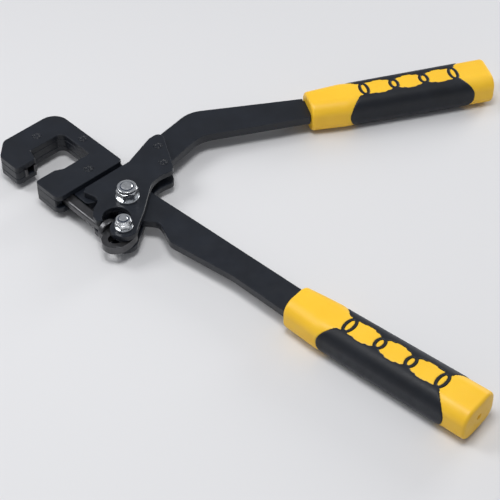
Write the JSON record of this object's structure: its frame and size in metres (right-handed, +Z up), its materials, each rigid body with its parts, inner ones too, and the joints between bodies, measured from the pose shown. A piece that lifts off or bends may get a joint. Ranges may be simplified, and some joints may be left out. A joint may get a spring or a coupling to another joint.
{
  "type": "section crimper",
  "caption": "Long-handled section crimper: a C-shaped jaw with a die, a sliding punch driven by the turning handle, and cushioned grips.",
  "frame": {"origin": "on the pivot bolt's axis, at the outer face of its hexagon head, which is the face the tool lies on", "axes": "+Z up along the pivot axis, through the plates; +X from the jaw towards the jaw handle's grip, opposite to the punch's closing stroke; the throat opens towards -Y"},
  "size_m": [0.3835, 0.3212, 0.0317],
  "materials": {
    "black_steel": "black satin paint on steel plate",
    "zinc_steel": "bright zinc plate",
    "tool_steel": "ground tool steel, lightly oiled",
    "nylon": "dark nylon ring",
    "yellow_plastic": "moulded yellow plastic, fine satin grain",
    "black_rubber": "soft black elastomer, satin"
  },
  "bodies": {
    "jaw_handle": {"jaw_plate": "black_steel", "jaw_cover_plate_top": "black_steel", "jaw_cover_plate_bottom": "black_steel", "jaw_rivets": "black_steel", "guide_strip": "black_steel", "die_insert": "tool_steel", "lower_grip_core": "yellow_plastic", "lower_grip_overmould": "black_rubber"},
    "drive_handle": {"drive_bar": "black_steel", "cheek_plate_top": "black_steel", "cheek_plate_bottom": "black_steel", "handle_rivets": "black_steel", "upper_grip_core": "yellow_plastic", "upper_grip_overmould": "black_rubber", "pivot_bolt": "zinc_steel", "pivot_washer": "zinc_steel", "pivot_nut": "zinc_steel", "pivot_nut_lock_ring": "nylon", "pivot_bush": "tool_steel", "drive_bolt": "zinc_steel", "drive_washer": "zinc_steel", "drive_nut": "zinc_steel", "drive_nut_lock_ring": "nylon"},
    "sleeve": {"drive_sleeve": "tool_steel"},
    "punch": {"punch_slide": "tool_steel", "punch_collar": "tool_steel", "punch_tip": "tool_steel", "tip_pin": "tool_steel"}
  },
  "joints": [
    {"name": "handle_hinge", "type": "hinge", "parent": "jaw_handle", "child": "drive_handle", "pos_m": [0, 0, 0.0131], "axis": [0, 0, -1], "range_deg": [0, 44.86]},
    {"name": "punch_stroke", "type": "slide", "parent": "jaw_handle", "child": "punch", "axis": [-1, 0, 0], "range_m": [0, 0.0205]},
    {"name": "sleeve_spin", "type": "hinge", "parent": "drive_handle", "child": "sleeve", "pos_m": [0.0205, -0.0206, 0.0131], "axis": [0, 0, 1], "continuous": true}
  ],
  "couplings": [
    {"joint": "punch_stroke", "follows": "handle_hinge", "m_per_rad": 0.026183}
  ]
}
